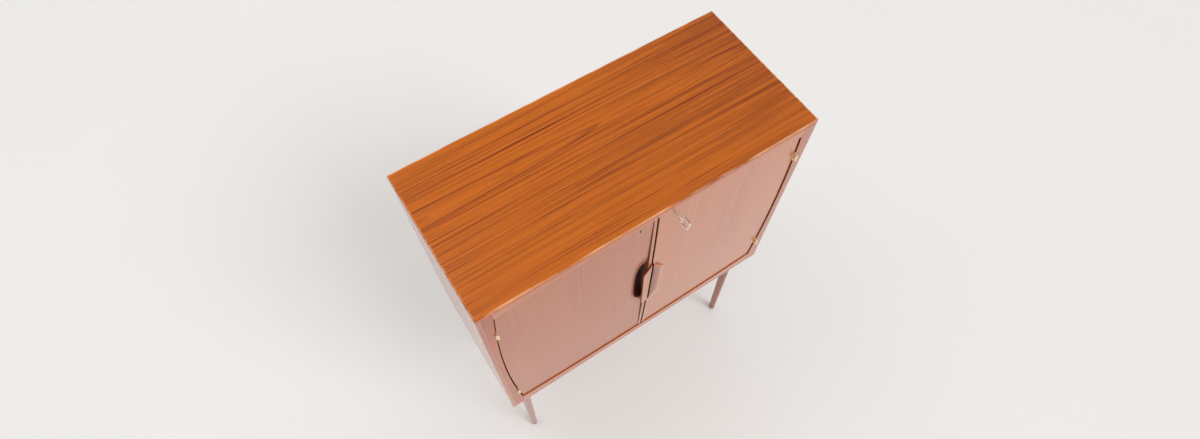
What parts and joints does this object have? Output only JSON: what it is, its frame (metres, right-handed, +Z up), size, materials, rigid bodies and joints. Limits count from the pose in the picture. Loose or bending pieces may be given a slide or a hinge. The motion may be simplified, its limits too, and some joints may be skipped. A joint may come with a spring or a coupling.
{
  "type": "bar cabinet",
  "caption": "Wooden bar cabinet on tall tapered legs, with inset bow-edged doors, a raised pull with a finger scoop, door locks with a key, and shelves inside.",
  "frame": {"origin": "on the floor, under the middle of the whole object's box, key included", "axes": "+Z up, the doors face -Y, +X to the right of someone standing in front of the doors"},
  "size_m": [0.9, 0.4514, 1.23],
  "materials": {
    "teak": "teak, satin oil, warm orange brown with darker streaks along the grain",
    "teak_front": "fine straight-grained teak, satin, a little redder and paler than the top",
    "teak_strip": "solid teak, hand-worn satin",
    "inner_board": "veneered board, matt",
    "back_plywood": "pale plywood, unfinished",
    "brass": "aged brass, softly dulled",
    "nickel": "nickel plate, worn",
    "lock_steel": "plain steel, dulled",
    "screw_steel": "zinc plated steel"
  },
  "bodies": {
    "case": {"top_panel": "teak", "bottom_panel": "teak", "left_side_panel": "teak", "right_side_panel": "teak", "back_panel": "back_plywood", "left_front_stile": "teak_front", "right_front_stile": "teak_front", "top_front_rail": "teak_front", "bottom_front_rail": "teak_front", "left_upper_hinge_case_leaf": "brass", "left_upper_hinge_pin": "brass", "left_lower_hinge_case_leaf": "brass", "left_lower_hinge_pin": "brass", "right_upper_hinge_case_leaf": "brass", "right_upper_hinge_pin": "brass", "right_lower_hinge_case_leaf": "brass", "right_lower_hinge_pin": "brass", "left_strike_plate": "brass", "right_strike_plate": "brass", "front_left_leg": "teak", "front_right_leg": "teak", "back_left_leg": "teak", "back_right_leg": "teak", "front_apron": "teak", "back_apron": "teak", "left_apron": "teak", "right_apron": "teak", "base_screw_front_left": "screw_steel", "base_screw_front_right": "screw_steel", "base_screw_back_left": "screw_steel", "base_screw_back_right": "screw_steel", "base_screw_left_side": "screw_steel", "base_screw_right_side": "screw_steel", "centre_partition": "inner_board", "left_shelf": "inner_board", "right_shelf": "inner_board", "left_shelf_pin_front_outer": "brass", "left_shelf_pin_front_inner": "brass", "left_shelf_pin_back_outer": "brass", "left_shelf_pin_back_inner": "brass", "right_shelf_pin_front_outer": "brass", "right_shelf_pin_front_inner": "brass", "right_shelf_pin_back_outer": "brass", "right_shelf_pin_back_inner": "brass"},
    "left_door": {"left_door_panel": "teak_front", "left_door_pull_strip": "teak_strip", "left_upper_hinge_door_leaf": "brass", "left_lower_hinge_door_leaf": "brass", "left_lock_body": "lock_steel", "left_keyhole_liner": "brass"},
    "right_door": {"right_door_panel": "teak_front", "right_door_pull_strip": "teak_strip", "right_upper_hinge_door_leaf": "brass", "right_lower_hinge_door_leaf": "brass", "right_lock_body": "lock_steel", "right_keyhole_liner": "brass"},
    "left_bolt": {"left_lock_bolt": "brass"},
    "right_bolt": {"right_lock_bolt": "brass"},
    "key": {"key": "nickel"}
  },
  "joints": [
    {"name": "left_door_hinge", "type": "hinge", "parent": "case", "child": "left_door", "pos_m": [-0.41837, -0.18325, 0.8655], "axis": [0, 0, -1], "range_deg": [0, 170]},
    {"name": "right_door_hinge", "type": "hinge", "parent": "case", "child": "right_door", "pos_m": [0.41837, -0.18325, 0.8655], "axis": [0, 0, 1], "range_deg": [0, 170]},
    {"name": "left_bolt_slide", "type": "slide", "parent": "left_door", "child": "left_bolt", "axis": [0, 0, 1], "range_m": [0, 0.011]},
    {"name": "key_turn", "type": "hinge", "parent": "right_door", "child": "key", "pos_m": [0.046, -0.17825, 1.189], "axis": [0, 1, 0], "range_deg": [0, 180]},
    {"name": "right_bolt_slide", "type": "slide", "parent": "right_door", "child": "right_bolt", "axis": [0, 0, 1], "range_m": [0, 0.011]}
  ],
  "couplings": [
    {"joint": "right_bolt_slide", "follows": "key_turn", "m_per_rad": 0.0035}
  ]
}
